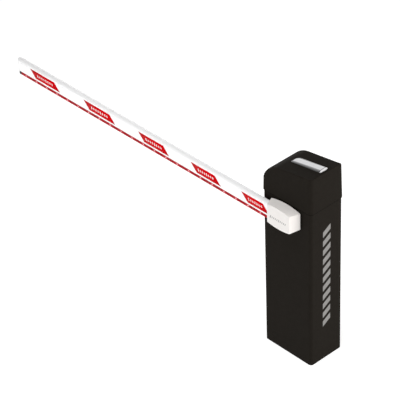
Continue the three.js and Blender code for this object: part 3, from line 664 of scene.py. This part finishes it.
def hood_edges(xs, cuts):
    """Each point's edge radius, and how much of it belongs to the shoulder's side, 0 to 1."""
    edges = [HOOD["front_edge"], HOOD["right_edge"], HOOD["back_edge"], 0.0]
    steps = HOOD_MESH["corner_steps"]
    radii, leftness = [], []
    for i in range(4):
        before, after = edges[i - 1], edges[i]
        for k in range(steps + 1):
            t = smooth(k / steps)
            radii.append(before + (after - before) * t * (HOOD["shoulder_edge"] if i == 0 else 1))
            leftness.append({0: 1 - t, 3: t}.get(i, 0.0))
        if i == 0:
            swell = [smooth((HOOD["swell_from"] - x) / HOOD["swell_run"]) for x in xs]
            radii += [edges[0] * (1 + (HOOD["shoulder_edge"] - 1) * t) for t in swell]
        else:
            radii += [edges[i]] * len(cuts[i])
        leftness += [1.0 if i == 3 else 0.0] * len(cuts[i])
    return radii, leftness


def hood_depth(step, radius, left, deepest):
    """How far in a ring of the hood's top lies: fine steps over the edge, then wide ones."""
    turn = step / HOOD_MESH["top_rings"]
    over = deepest * (1 - math.cos(turn * math.pi / 2))
    if radius < 1e-6:
        return over
    share = HOOD_MESH["edge_share"]
    if turn <= share:
        edge = radius * (1 - math.cos(turn / share * math.pi / 2))
    else:
        inward = ((turn - share) / (1 - share)) ** HOOD_MESH["inward_power"]
        edge = radius + (deepest - radius) * inward
    return edge + (over - edge) * left


def hood_skin(inset):
    """One skin of the hood: rings from the rim up the walls, over the edge and inwards."""
    xs, cuts = hood_cuts()
    radii, leftness = hood_edges(xs, cuts)
    radii = [max(r - inset, 0.0) for r in radii]
    half_x, half_y = hood_half.x - inset, hood_half.y - inset
    deepest = half_y - HOOD["flat"]
    loops = {}

    def place(go, corner, index):
        """One point of the outline that stands in by go, with its loop kept for the others."""
        key = (round(half_x - go, 7), round(half_y - go, 7), round(corner, 7))
        if key not in loops:
            steps = HOOD_MESH["corner_steps"]
            loops[key] = outline(half_x - go, half_y - go, [corner] * 4, cuts, steps)
        return loops[key][index]

    points = []
    walls = HOOD_MESH["wall_rings"]
    rings = walls + HOOD_MESH["top_rings"] + 1
    for k in range(rings):
        level = min(k / walls, 1)
        step = max(k - walls, 0)
        insets = [hood_depth(step, r, left, deepest) for r, left in zip(radii, leftness)]
        for j, go in enumerate(insets):
            loss = HOOD_MESH["corner_loss"] * go / deepest
            here = place(go, (HOOD["corner"] - inset) * (1 - loss), j)
            drop = 0.0
            if go < radii[j]:
                drop = radii[j] - math.sqrt(radii[j] ** 2 - (radii[j] - go) ** 2)
            top = hood_top(here.x, inset) - drop
            z = hood_low.z + (top - hood_low.z) * level
            up = (z - hood_low.z) / (hood_high.z - hood_low.z)
            points.append(Vector((
                here.x * (1 - up * HOOD["draft"] / hood_half.x),
                here.y * (1 - up * HOOD["draft"] / hood_half.y),
                z,
            )))
    return points, len(radii), rings


def add_hood(material):
    """The hood's sheet: a sloped roof with a rounded left shoulder, open below."""
    outer, count, rings = hood_skin(0.0)
    inner, _, _ = hood_skin(HOOD["wall"])
    faces = ring_faces(rings, count)
    faces.append(tuple(range((rings - 1) * count, rings * count)))
    vertices, faces = thicken(outer, inner, faces)
    make("hood_shell", vertices, faces, "cabinet", material, ["hood"], sharp=40)


def on_slope(u, v, w):
    """A point on the hood's sloped top: u up the slope from x = 0, v across it, w out of it."""
    tilt = math.atan(HOOD["slope"])
    x = u * math.cos(tilt) - w * math.sin(tilt)
    return Vector((x, v, slope_origin + u * math.sin(tilt) + w * math.cos(tilt)))


def add_hood_seal_shade(material):
    """The black rubber seal just below the hood's rim, against the cabinet, near black as painted
    shade.
    """
    low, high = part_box("cabinet_shell")
    half = Vector((high.x, high.y))
    inside, outside = SEAL["inside"], SEAL["outside"]
    # The seal's section: out from the cabinet's wall, and up from the hood's rim in mm.
    section = [(inside, -4), (outside, -4), (outside + SEAL["lip"], -2), (outside, 0.5),
               (outside, 5), (inside, 5)]
    cuts = [evenly(5)] * 4
    points = []
    for go, z in section:
        for p in outline(half.x + go, half.y + go, [CABINET["corner"] + go] * 4, cuts, 12):
            points.append(Vector((p.x, p.y, hood_low.z + z * MM)))
    count = len(points) // len(section)
    faces = ring_faces(len(section), count)
    last = (len(section) - 1) * count
    faces += [(last + j, last + (j + 1) % count, (j + 1) % count, j) for j in range(count)]
    make("hood_seal_shade", points, faces, "cabinet", material)


def add_lens(material):
    """The lamp's lens: a low loaf with sloping sides that rises to the right, steep-ended."""
    middle, half = (LENS["u0"] + LENS["u1"]) / 2, (LENS["u1"] - LENS["u0"]) / 2
    cuts = [evenly(30), evenly(5), evenly(30), evenly(5)]
    points = []
    for go, rise in LENS_PROFILE:
        side, end = go * MM, go * LENS["end_steepness"] * MM
        radii = [max(corner - side, LENS["least_corner"]) for corner in LENS["corners"]]
        for p in outline(half - end, LENS["half_width"] - side, radii, cuts, 10):
            along = (p.x + half) / (2 * half)
            share = LENS["left_share"] + (1 - LENS["left_share"]) * along
            height = LENS["lift"] + rise * LENS["height"] * share
            points.append(on_slope(p.x + middle, LENS["middle"] + p.y, height))
    faces = closed_faces(len(LENS_PROFILE), len(points) // len(LENS_PROFILE))
    make("lamp_lens_moulding", points, faces, "cabinet", material, ["lamp_lens"],
         sharp=50)


# ---------------------------------------------------------------- cabinet


def add_cabinet(material):
    """The cabinet's wall, with the doorway in its back."""
    low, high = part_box("cabinet_shell")
    half = Vector((high.x, high.y))
    flat = half.x - CABINET["corner"]
    door_low, door_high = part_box("service_door")
    gap = CABINET["door_gap"]
    jamb = door_high.x + gap
    right, left = (flat - jamb) / (2 * flat), (flat + jamb) / (2 * flat)
    # Cuts at the doorway's edges, with a few between them that keep the quads short.
    back = [right / 2, right, 0.3, 0.5, 0.7, left, (1 + left) / 2]
    cuts = [evenly(7), evenly(5), back, evenly(5)]
    levels = [low.z, door_low.z - gap, 0.25, 0.45, 0.65, door_high.z + gap, high.z]

    def skin(inset):
        radius = CABINET["corner"] - inset
        loop = outline(half.x - inset, half.y - inset, [radius] * 4, cuts, 12)
        return [Vector((p.x, p.y, z)) for z in levels for p in loop], len(loop)

    outer, count = skin(0.0)
    inner, _ = skin(CABINET["wall"])

    def doorway(face):
        middle = sum((outer[v] for v in face), Vector()) / len(face)
        at_back = middle.y > half.y - 1 * MM
        return at_back and abs(middle.x) < jamb and levels[1] < middle.z < levels[-2]

    faces = [f for f in ring_faces(len(levels), count) if not doorway(f)]
    vertices, faces = thicken(outer, inner, faces)
    body = make("cabinet_body", vertices, faces, "cabinet", material,
                ["cabinet_shell"])
    cut_hole(body, CABINET["shaft_hole"], (0, -half.y, AXIS_Z))


def cut_hole(obj, radius, centre):
    """A round hole along Y through the wall at centre."""
    bpy.ops.mesh.primitive_cylinder_add(
        vertices=48, radius=radius, depth=30 * MM, location=centre, rotation=(math.pi / 2, 0, 0))
    cutter = bpy.context.object
    hole = obj.modifiers.new("hole", "BOOLEAN")
    hole.object = cutter
    hole.operation = "DIFFERENCE"
    hole.solver = "EXACT"
    bpy.context.view_layer.objects.active = obj
    bpy.ops.object.modifier_apply(modifier="hole")
    bpy.data.objects.remove(cutter)


# ---------------------------------------------------------------- hub cover


def cover_left(y):
    """Where the cover's left side lies at y."""
    low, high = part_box("hub_cover")
    run = COVER["front_left"] - COVER["back_left"]
    return COVER["back_left"] + run * (high.y - y) / (high.y - low.y)


def cover_loop(y, inset, mouth):
    """The cover's section at y, from the top of its left side down and round.

    mouth gives the two heights between which the boom passes through the left side.
    """
    low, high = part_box("hub_cover")
    depth = (high.y - y) / (high.y - low.y)
    left = cover_left(y) + inset
    right = COVER["back_right"] + (COVER["front_right"] - COVER["back_right"]) * depth - inset
    radius = COVER["barrel"] - inset
    steps = 22

    def arc(x, sign):
        rise = math.sqrt(radius**2 - (x - COVER["middle"]) ** 2)
        return AXIS_Z + sign * (COVER["half_height"] - COVER["barrel"] + rise)

    xs = [left + (right - left) * k / steps for k in range(steps + 1)]
    lower = [Vector((x, y, arc(x, -1))) for x in xs]
    upper = [Vector((x, y, arc(x, 1))) for x in reversed(xs)]
    side = [Vector((left, y, z)) for z in mouth]
    return [*side, *lower, *upper]


def add_cover(material):
    """The cover over the hub: an open-backed moulding with a mouth for the boom on its left."""
    low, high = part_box("hub_cover")
    boom_low, boom_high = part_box("boom_profile")
    mouth = [boom_high.z + COVER["mouth_above"], boom_low.z - COVER["mouth_below"]]
    mouth_front = boom_low.y - COVER["mouth_front"]
    ys = [high.y, mouth_front, low.y]
    wall = COVER["wall"]
    outer = [p for y in ys for p in cover_loop(y, 0.0, mouth)]
    inner_ys = [high.y, mouth_front, low.y + wall]
    inner = [p for y in inner_ys for p in cover_loop(y, wall, mouth)]
    count = len(outer) // len(ys)
    faces = ring_faces(len(ys), count)
    faces.remove((0, 1, 1 + count, count))
    faces.append(tuple(range(2 * count, 3 * count)))
    vertices, faces = thicken(outer, inner, faces)
    cover = make("hub_cover_moulding", vertices, faces, "boom_arm", material,
                 ["hub_cover"])
    add_bevel(cover, COVER["edge"], segments=4, angle=28)


# ---------------------------------------------------------------- boom


def boom_loop(inset, grooves):
    """The boom's section, as points in Y and Z, Y from its middle.

    It has a domed top, flat sides and rounded bottom corners. grooves adds the two fine
    grooves that run along each side, above and below the labels.
    """
    low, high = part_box("boom_profile")
    half = (high.y - low.y) / 2 - inset
    corner = BOOM["corner"] - inset
    bottom, shoulder = low.z + inset, BOOM["shoulder"]
    dome_height = high.z - shoulder - inset
    depth = BOOM["groove_depth"] if grooves else 0.0
    steps = ((1, 0), (0.4, depth), (-0.4, depth), (-1, 0))
    lower, upper = (
        [Vector((half - go, z + at * BOOM["groove_half"])) for at, go in steps]
        for z in BOOM["grooves"]
    )
    waist = Vector((half, bottom + corner + (shoulder - bottom - corner) * 0.5))
    right = [Vector((half, shoulder)), *upper, waist, *lower]
    for k in range(13):
        turn = -k / 12 * math.pi / 2
        across, up = corner * math.cos(turn), corner * math.sin(turn)
        right.append(Vector((half - corner + across, bottom + corner + up)))
    left = [Vector((-p.x, p.y)) for p in reversed(right)]
    turns = [math.pi * (1 - k / 28) for k in range(1, 28)]
    top = [Vector((half * math.cos(t), shoulder + dome_height * math.sin(t))) for t in turns]
    return [*right, *left, *top]


def add_boom(material):
    """The boom's extrusion: a hollow section with two fine grooves along each side."""
    low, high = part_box("boom_profile")
    middle = (low.y + high.y) / 2
    xs = [low.x + (high.x - low.x) * k / 24 for k in range(25)]

    def skin(inset, grooves):
        loop = boom_loop(inset, grooves)
        return [Vector((x, middle + p.x, p.y)) for x in xs for p in loop], len(loop)

    outer, count = skin(0.0, True)
    inner, _ = skin(BOOM["wall"], False)
    vertices, faces = thicken(outer, inner, ring_faces(len(xs), count))
    make("boom_extrusion", vertices, faces, "boom_arm", material,
         ["boom_profile"])


def add_end_cap(material):
    """The boom's end cap: the boom's section, drawn in to a nose that is round in plan."""
    low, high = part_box("boom_end_cap")
    middle, half = (low + high) / 2, (high - low) / 2
    nose = half.y
    edge = BOOM["cap_edge"]
    loop = boom_loop(0.0, False)
    distances = [nose * (1 - math.cos(k / 24 * math.pi / 2)) for k in range(1, 25)]
    distances.append(high.x - low.x)
    points = []
    for d in distances:
        width = math.sqrt(nose**2 - (nose - min(d, nose)) ** 2) / nose
        over = max(edge - d, 0)
        height = 1 - (edge - math.sqrt(edge**2 - over**2)) / half.z
        for p in loop:
            y, z = middle.y + p.x * width, middle.z + (p.y - middle.z) * height
            points.append(Vector((low.x + d, y, z)))
    faces = closed_faces(len(distances), len(loop))
    make("boom_end_moulding", points, faces, "boom_arm", material,
         ["boom_end_cap"], sharp=40)


def add_strip_piece(node, name, material, stations=(), end_at=None):
    """A bar along X with rounded corners and bevelled ends.

    stations are the distances from its left end that it is cut at. end_at gives where its
    right end lies at y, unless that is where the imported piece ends.
    """
    low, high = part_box(node)
    middle, half = (low + high) / 2, (high - low) / 2
    bevel = STRIP["bevel"]
    cuts = [evenly(2)] * 4

    def section(go):
        return outline(half.y - go, half.z - go, [STRIP["corner"] - go] * 4, cuts, 8)

    points = []
    for x, go in [(0.0, bevel), (bevel, 0.0), *((x, 0.0) for x in stations)]:
        points += [Vector((low.x + x, middle.y + p.x, middle.z + p.y)) for p in section(go)]
    for back, go in ((bevel, 0.0), (0.0, bevel)):
        for p in section(go):
            y = middle.y + p.x
            end = end_at(y) if end_at else high.x
            points.append(Vector((end - back, y, middle.z + p.y)))
    rings = len(stations) + 4
    faces = closed_faces(rings, len(points) // rings)
    make(name, points, faces, "boom_arm", material, [node], sharp=40)


def add_strip(red, black, pink):
    """The light strip under the boom, its end plug and its small lamps."""
    stations = [k * STRIP["pitch"] for k in range(1, STRIP["points"])]
    add_strip_piece("light_strip", "strip_extrusion", red, stations,
                    lambda y: cover_left(y) - STRIP["to_cover"])
    add_strip_piece("light_strip_plug", "strip_end_plug", black)
    low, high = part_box("light_strip")
    z = (low.z + high.z) / 2
    vertices, faces = [], []
    x = STRIP["first"]
    while x < high.x - STRIP["last_gap"]:
        for y, out in ((low.y, -1), (high.y, 1)):
            dome(vertices, faces, Vector((x, y, z)), out)
        x += STRIP["pitch"]
    make("strip_lamps", vertices, faces, "boom_arm", pink, sharp=60)


def dome(vertices, faces, centre, out):
    """A low oval dome on a wall that faces along Y, closed behind."""
    sides = 20
    # Shares of the radius, and heights in mm off the wall.
    profile = [(1.0, -0.3), (1.0, 0.1), (0.86, 0.42), (0.6, 0.68), (0.3, 0.84)]
    start = len(vertices)
    for share, height in profile:
        for k in range(sides):
            turn = 2 * math.pi * k / sides
            across = Vector((STRIP["dot_stretch"] * math.cos(turn), 0, math.sin(turn)))
            offset = across * STRIP["dot"] * share
            vertices.append(centre + offset + Vector((0, out * height * MM, 0)))
    faces += [tuple(v + start for v in f) for f in closed_faces(len(profile), sides)]


def add_bar(vertices, faces, corners, out):
    """A thin printed bar, from its outline's four corners and its outward direction."""
    start = len(vertices)
    vertices += corners
    vertices += [c + out * PRINT_THICKNESS for c in corners]
    faces += [tuple(v + start for v in f) for f in closed_faces(2, len(corners))]


def bar_height(mark, k):
    """Half the height of a row's bar number k."""
    return mark["short"] if k % mark["every"] else mark["tall"]


def add_label_marks(material):
    """A row of small white bars in the middle of each red label, with the label's own slant."""
    for side, out in (("front", -1), ("back", 1)):
        for i in range(1, 6):
            low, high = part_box(f"label_{side}_{i}")
            face = (low.y if out < 0 else high.y) + out * PRINT_GAP
            middle = (low + high) / 2
            slant = LABEL["slant"] / (high.z - low.z) * LABEL["lean"]
            pitch = (high.x - low.x - LABEL["slant"]) * LABEL["run"] / LABEL["bars"]
            width = pitch * LABEL["bar"]
            vertices, faces = [], []
            for k in range(LABEL["bars"]):
                x = middle.x + (k - (LABEL["bars"] - 1) / 2) * pitch
                size = bar_height(LABEL, k)
                corners = [
                    Vector((x + dx * width - slant * dz * size, face, middle.z + dz * size))
                    for dx, dz in BAR_CORNERS
                ]
                add_bar(vertices, faces, corners, Vector((0, out, 0)))
            make(f"label_mark_{side}_{i}", vertices, faces, "boom_arm", material)


def add_cabinet_mark(material):
    """A column of slanted grey bars printed on the cabinet's right side."""
    mark = SIDE_MARK
    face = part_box("cabinet_shell")[1].x + PRINT_GAP
    pitch = (mark["high"] - mark["low"]) / mark["bars"]
    thick = pitch * mark["bar"]
    vertices, faces = [], []
    for k in range(mark["bars"]):
        z = mark["low"] + pitch * (k + 0.5)
        corners = [
            Vector((face, dy * mark["half_width"], z + dz * thick + dy * mark["rise"]))
            for dy, dz in BAR_CORNERS
        ]
        add_bar(vertices, faces, corners, Vector((1, 0, 0)))
    make("side_mark", vertices, faces, "cabinet", material)


def add_cover_mark(material):
    """A row of small slanted bars printed on the cover's front, nearly flush with it."""
    mark = COVER_MARK
    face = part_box("hub_cover")[0].y + mark["sunk"]
    middle = AXIS_Z - mark["drop"]
    vertices, faces = [], []
    for k in range(mark["bars"]):
        x = mark["x"] + (k - (mark["bars"] - 1) / 2) * mark["pitch"]
        size = bar_height(mark, k)
        corners = [
            Vector((x + dx * mark["bar"] + dz * size * mark["lean"], face, middle + dz * size))
            for dx, dz in BAR_CORNERS
        ]
        add_bar(vertices, faces, corners, Vector((0, -1, 0)))
    make("cover_mark", vertices, faces, "boom_arm", material)


# ---------------------------------------------------------------- balance spring


def add_spring(material):
    """A close-wound extension spring, hooked at its lower end, built at one length. The real one
    shortens as the boom opens.
    """
    down = (SPRING["anchor"] - SPRING["pin"]).normalized()
    length = (SPRING["anchor"] - SPRING["pin"]).length
    across = Vector((0, 1, 0))
    beside = down.cross(across)
    start, end = SPRING["top"], length - SPRING["bottom"] - SPRING["hook_room"]
    path = []
    steps = 20
    total = SPRING["turns"] * steps
    for k in range(total + 1):
        turn = 2 * math.pi * k / steps
        radial = across * math.cos(turn) + beside * math.sin(turn)
        here = SPRING["pin"] + down * (start + (end - start) * k / total)
        path.append(here + radial * SPRING["coil"])
    # The wire leaves the coil towards its middle, then goes round the anchor's pin.
    entry = SPRING["pin"] + down * (end + 5 * MM)
    path.append(entry + across * SPRING["coil"] * 0.6)
    path.append(entry + down * 3 * MM)
    for k in range(15):
        turn = math.pi * (SPRING["hook_from"] + SPRING["hook_sweep"] * k / 14)
        round_pin = beside * math.cos(turn) + down * math.sin(turn)
        path.append(SPRING["anchor"] - round_pin * SPRING["hook"])
    vertices, faces = tube(path, SPRING["wire"], 10)
    spring = make("balance_spring_coil", vertices, faces, "spring_hanger",
                  material, ["balance_spring"], sharp=60)
    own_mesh(spring)


def tube(path, radius, sides):
    """A closed round tube along a path, its section carried along without twist."""
    last = len(path) - 1
    tangents = [
        (path[min(i + 1, last)] - path[max(i - 1, 0)]).normalized() for i in range(len(path))
    ]
    normal = tangents[0].orthogonal().normalized()
    vertices = []
    for point, tangent in zip(path, tangents):
        normal = (normal - tangent * normal.dot(tangent)).normalized()
        other = tangent.cross(normal)
        for k in range(sides):
            turn = 2 * math.pi * k / sides
            vertices.append(point + (normal * math.cos(turn) + other * math.sin(turn)) * radius)
    return vertices, closed_faces(len(path), sides)


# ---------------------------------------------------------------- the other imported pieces


def dress(node, material, bevel):
    """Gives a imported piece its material, softened edges and smooth round faces."""
    obj = frame["nodes"][node]
    obj.data.materials.clear()
    obj.data.materials.append(material)
    obj.data.shade_smooth()
    weld = obj.modifiers.new("weld", "WELD")
    weld.merge_threshold = 1e-5
    flatten = obj.modifiers.new("flatten", "DECIMATE")
    flatten.decimate_type = "DISSOLVE"
    flatten.angle_limit = math.radians(1.5)
    if bevel:
        add_bevel(obj, bevel, segments=2)


def dress_all(looks):
    """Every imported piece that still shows, by its material slot. The thin labels stay sharp."""
    for part in frame["record"]["subparts"]:
        node = part["node"]
        if frame["nodes"][node].hide_render:
            continue
        width = 0.0 if node.startswith("label_") else BEVELS.get(node, USUAL_BEVEL)
        dress(node, looks[part["material_slot"]], width)


# ---------------------------------------------------------------- stage, lights and camera


def add_floor():
    """A pale floor that glows a little."""
    half, albedo = FLOOR["half"], FLOOR["albedo"]
    mesh = bpy.data.meshes.new("floor")
    corners = [(-half, -half, 0), (half, -half, 0), (half, half, 0), (-half, half, 0)]
    mesh.from_pydata(corners, [], [(0, 1, 2, 3)])
    floor = bpy.data.objects.new("floor", mesh)
    bpy.context.scene.collection.objects.link(floor)
    floor.location.z = -FLOOR["below"]
    m = Nodes("floor_pale", (albedo, albedo, albedo), 0.9, specular=0.0)
    m.shader.inputs["Emission Color"].default_value = (1, 1, 1, 1)
    m.shader.inputs["Emission Strength"].default_value = FLOOR["glow"]
    mesh.materials.append(m.material)


def add_sky():
    """A white sky that is brightest at the horizon."""
    world = bpy.data.worlds.new("studio")
    bpy.context.scene.world = world
    world.use_nodes = True
    tree = world.node_tree
    direction = tree.nodes.new("ShaderNodeTexCoord").outputs["Generated"]
    split = tree.nodes.new("ShaderNodeSeparateXYZ")
    tree.links.new(direction, split.inputs[0])
    result = split.outputs["Z"]
    for operation, number in (
        ("MULTIPLY", -1.0),
        ("ADD", 1.0),
        ("POWER", SKY["power"]),
        ("MULTIPLY", SKY["horizon"]),
        ("ADD", SKY["least"]),
    ):
        step = tree.nodes.new("ShaderNodeMath")
        step.operation = operation
        step.use_clamp = operation == "POWER"
        step.inputs[1].default_value = number
        tree.links.new(result, step.inputs[0])
        result = step.outputs[0]
    background = tree.nodes["Background"]
    tree.links.new(result, background.inputs["Strength"])
    background.inputs["Color"].default_value = (1, 1, 1, 1)


def add_light(name, place, aim, size, power, colour):
    """A square area light at a place, aimed at a point."""
    data = bpy.data.lights.new(name, "AREA")
    data.shape = "RECTANGLE"
    data.size = data.size_y = size
    data.energy = power
    data.color = colour
    light = bpy.data.objects.new(name, data)
    light.location = place
    light.rotation_mode = "QUATERNION"
    light.rotation_quaternion = (Vector(aim) - Vector(place)).to_track_quat("-Z", "Y")
    bpy.context.scene.collection.objects.link(light)


def add_camera():
    """A long lens to the right of the front, above the object, rolled a little."""
    azimuth, elevation, roll = (
        math.radians(CAMERA[key]) for key in ("azimuth", "elevation", "roll")
    )
    flat = math.cos(elevation)
    back = Vector((math.sin(azimuth) * flat, -math.cos(azimuth) * flat, math.sin(elevation)))
    level = Vector((math.cos(azimuth), math.sin(azimuth), 0))
    above = back.cross(level)
    right = level * math.cos(roll) + above * math.sin(roll)
    up = above * math.cos(roll) - level * math.sin(roll)
    data = bpy.data.cameras.new("camera")
    data.lens = CAMERA["focal"]
    data.sensor_width = CAMERA["sensor"]
    camera = bpy.data.objects.new("camera", data)
    aside = right * CAMERA["side"] + up * CAMERA["rise"]
    place = CAMERA["base"] + aside + back * CAMERA["distance"]
    turn = Matrix((right, up, back)).transposed().to_4x4()
    camera.matrix_world = Matrix.Translation(place) @ turn
    bpy.context.scene.collection.objects.link(camera)
    bpy.context.scene.camera = camera


# ---------------------------------------------------------------- the scene

add_camera()
add_floor()
add_sky()
for name, values in LIGHTS.items():
    add_light(name, **values)
bpy.context.scene.view_settings.view_transform = "Standard"

looks = {
    "powder_black": powder_black(),
    "boom_white": boom_white(),
    "cover_white": cover_white(),
    "lens_grey": lens_grey(),
    "label_red": label_red(),
    "strip_red": strip_red(),
    "rubber_black": rubber_black(),
    "zinc_steel": zinc_steel(),
    "cast_grey": cast_grey(),
    "motor_grey": motor_grey(),
    "plastic_grey": plastic_grey(),
    "circuit_green": circuit_green(),
}

add_hood(looks["powder_black"])
# The near-black seal paints the shade line under the hood's rim.
add_hood_seal_shade(seal_painted_shade())
add_lens(looks["lens_grey"])
add_cabinet(looks["powder_black"])
add_cover(looks["cover_white"])
add_boom(looks["boom_white"])
add_end_cap(looks["boom_white"])
add_strip(looks["strip_red"], looks["rubber_black"], lamp_pink())
add_label_marks(mark_white())
add_cabinet_mark(mark_grey())
add_cover_mark(mark_pale())
add_spring(spring_steel())
dress_all(looks)
